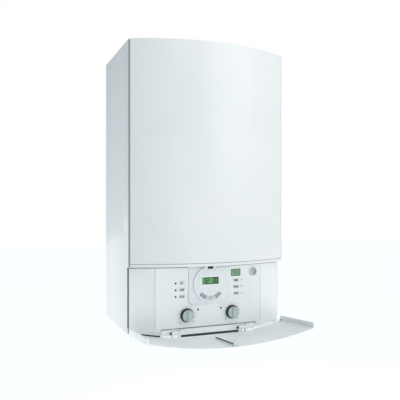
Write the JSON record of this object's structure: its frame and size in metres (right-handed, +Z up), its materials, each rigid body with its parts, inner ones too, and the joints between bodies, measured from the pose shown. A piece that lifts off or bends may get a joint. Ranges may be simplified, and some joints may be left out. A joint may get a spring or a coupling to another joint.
{
  "type": "wall-mounted gas boiler",
  "caption": "White wall-hung gas boiler with a bowed front cover, a control facia with displays, keys, knobs and gauge, and a hinged flap that opens forward.",
  "frame": {"origin": "on the wall plane, on the centre line, level with the underside of the casing", "axes": "+X to the right seen from the front, +Y into the wall, +Z up"},
  "size_m": [0.44, 0.4851, 0.831],
  "materials": {
    "white_enamel": "satin white baked enamel",
    "zinc_sheet": "zinc coated sheet",
    "zinc_screw": "zinc plated",
    "white_plastic": "fine textured moulding",
    "programmer_white": "smooth moulding",
    "green_display": "lit display",
    "grey_display": "dark display",
    "key_grey": "soft touch keys",
    "knob_grey": "ribbed moulding",
    "lamp": "tinted lamp",
    "gauge_grey": "moulded case",
    "gauge_black": "black pointer",
    "clear_lens": "clear lens",
    "black_plastic": "black moulding",
    "board_green": "circuit board",
    "cast_alloy": "cast alloy",
    "stainless": "stainless",
    "red_paint": "red paint",
    "pump_iron": "painted iron",
    "copper": "copper tube",
    "brass": "turned brass",
    "lever_red": "red lever",
    "lever_yellow": "yellow lever",
    "lever_blue": "blue lever",
    "flue_alloy": "white flue socket"
  },
  "bodies": {
    "casing": {"left_side_panel": "white_enamel", "right_side_panel": "white_enamel", "top_panel": "white_enamel", "front_cover": "white_enamel", "wall_frame": "zinc_sheet", "rear_frame": "zinc_sheet", "bottom_tray": "zinc_sheet", "case_screws": "zinc_screw", "hinge_pins": "zinc_screw", "facia_panel": "white_plastic", "hinge_bar": "white_plastic", "latch_catch": "white_plastic", "programmer_body": "programmer_white", "programmer_lcd": "green_display", "status_lcd": "grey_display", "indicator_lamps": "lamp", "gauge_case": "gauge_grey", "gauge_lens": "clear_lens", "knob_bushes": "black_plastic", "condensate_trap": "black_plastic", "relief_valve": "black_plastic", "control_box": "black_plastic", "control_board": "board_green", "heat_exchanger": "cast_alloy", "burner_door": "cast_alloy", "fan_housing": "cast_alloy", "gas_mixer": "cast_alloy", "gas_valve": "cast_alloy", "burner_tube": "stainless", "plate_exchanger": "stainless", "expansion_vessel": "red_paint", "pump": "pump_iron", "flow_pipes": "copper", "return_pipes": "copper", "gas_pipes": "copper", "hot_pipe": "copper", "cold_pipe": "copper", "service_valves": "brass", "diverter_valve": "brass", "flue_adaptor": "flue_alloy"},
    "flap": {"flap": "white_plastic", "flap_strike": "black_plastic"},
    "heating_knob": {"heating_knob": "knob_grey"},
    "hot_water_knob": {"hot_water_knob": "knob_grey"},
    "left_button_1": {"left_button_1": "key_grey"},
    "left_button_2": {"left_button_2": "key_grey"},
    "left_button_3": {"left_button_3": "key_grey"},
    "right_button_1": {"right_button_1": "key_grey"},
    "right_button_2": {"right_button_2": "key_grey"},
    "right_button_3": {"right_button_3": "key_grey"},
    "program_key_1": {"program_key_1": "key_grey"},
    "program_key_2": {"program_key_2": "key_grey"},
    "program_key_3": {"program_key_3": "key_grey"},
    "program_key_4": {"program_key_4": "key_grey"},
    "gauge_needle": {"gauge_needle": "gauge_black"},
    "fan_impeller": {"fan_impeller": "black_plastic"},
    "flow_lever": {"flow_lever": "lever_red"},
    "gas_lever": {"gas_lever": "lever_yellow"},
    "cold_lever": {"cold_lever": "lever_blue"},
    "return_lever": {"return_lever": "lever_red"}
  },
  "joints": [
    {"name": "flap_hinge", "type": "hinge", "parent": "casing", "child": "flap", "pos_m": [0, -0.309, -0.003], "axis": [-1, 0, 0], "range_deg": [0, 85.5]},
    {"name": "heating_knob_turn", "type": "hinge", "parent": "casing", "child": "heating_knob", "pos_m": [-0.065, -0.3065, 0.042], "axis": [0, -1, 0], "range_deg": [-135, 135]},
    {"name": "hot_water_knob_turn", "type": "hinge", "parent": "casing", "child": "hot_water_knob", "pos_m": [0.065, -0.3065, 0.042], "axis": [0, -1, 0], "range_deg": [-135, 135]},
    {"name": "left_button_1_press", "type": "slide", "parent": "casing", "child": "left_button_1", "axis": [0, 1, 0], "range_m": [0, 0.0012], "stiffness_N_per_m": 400},
    {"name": "left_button_2_press", "type": "slide", "parent": "casing", "child": "left_button_2", "axis": [0, 1, 0], "range_m": [0, 0.0012], "stiffness_N_per_m": 400},
    {"name": "left_button_3_press", "type": "slide", "parent": "casing", "child": "left_button_3", "axis": [0, 1, 0], "range_m": [0, 0.0012], "stiffness_N_per_m": 400},
    {"name": "right_button_1_press", "type": "slide", "parent": "casing", "child": "right_button_1", "axis": [0, 1, 0], "range_m": [0, 0.0012], "stiffness_N_per_m": 400},
    {"name": "right_button_2_press", "type": "slide", "parent": "casing", "child": "right_button_2", "axis": [0, 1, 0], "range_m": [0, 0.0012], "stiffness_N_per_m": 400},
    {"name": "right_button_3_press", "type": "slide", "parent": "casing", "child": "right_button_3", "axis": [0, 1, 0], "range_m": [0, 0.0012], "stiffness_N_per_m": 400},
    {"name": "program_key_1_press", "type": "slide", "parent": "casing", "child": "program_key_1", "axis": [0, 1, 0], "range_m": [0, 0.001], "stiffness_N_per_m": 400},
    {"name": "program_key_2_press", "type": "slide", "parent": "casing", "child": "program_key_2", "axis": [0, 1, 0], "range_m": [0, 0.001], "stiffness_N_per_m": 400},
    {"name": "program_key_3_press", "type": "slide", "parent": "casing", "child": "program_key_3", "axis": [0, 1, 0], "range_m": [0, 0.001], "stiffness_N_per_m": 400},
    {"name": "program_key_4_press", "type": "slide", "parent": "casing", "child": "program_key_4", "axis": [0, 1, 0], "range_m": [0, 0.001], "stiffness_N_per_m": 400},
    {"name": "gauge_needle_turn", "type": "hinge", "parent": "casing", "child": "gauge_needle", "pos_m": [0.129, -0.3028, 0.1495], "axis": [0, -1, 0], "range_deg": [-135, 135], "stiffness_Nm_per_rad": 0.0001},
    {"name": "fan_spin", "type": "hinge", "parent": "casing", "child": "fan_impeller", "pos_m": [0, -0.304, 0.48], "axis": [0, -1, 0], "continuous": true},
    {"name": "flow_lever_turn", "type": "hinge", "parent": "casing", "child": "flow_lever", "pos_m": [-0.13, -0.0922, -0.023], "axis": [0, -1, 0], "range_deg": [0, 90]},
    {"name": "gas_lever_turn", "type": "hinge", "parent": "casing", "child": "gas_lever", "pos_m": [0, -0.0922, -0.023], "axis": [0, -1, 0], "range_deg": [0, 90]},
    {"name": "cold_lever_turn", "type": "hinge", "parent": "casing", "child": "cold_lever", "pos_m": [0.065, -0.0922, -0.023], "axis": [0, -1, 0], "range_deg": [0, 90]},
    {"name": "return_lever_turn", "type": "hinge", "parent": "casing", "child": "return_lever", "pos_m": [0.13, -0.0922, -0.023], "axis": [0, -1, 0], "range_deg": [0, 90]}
  ]
}
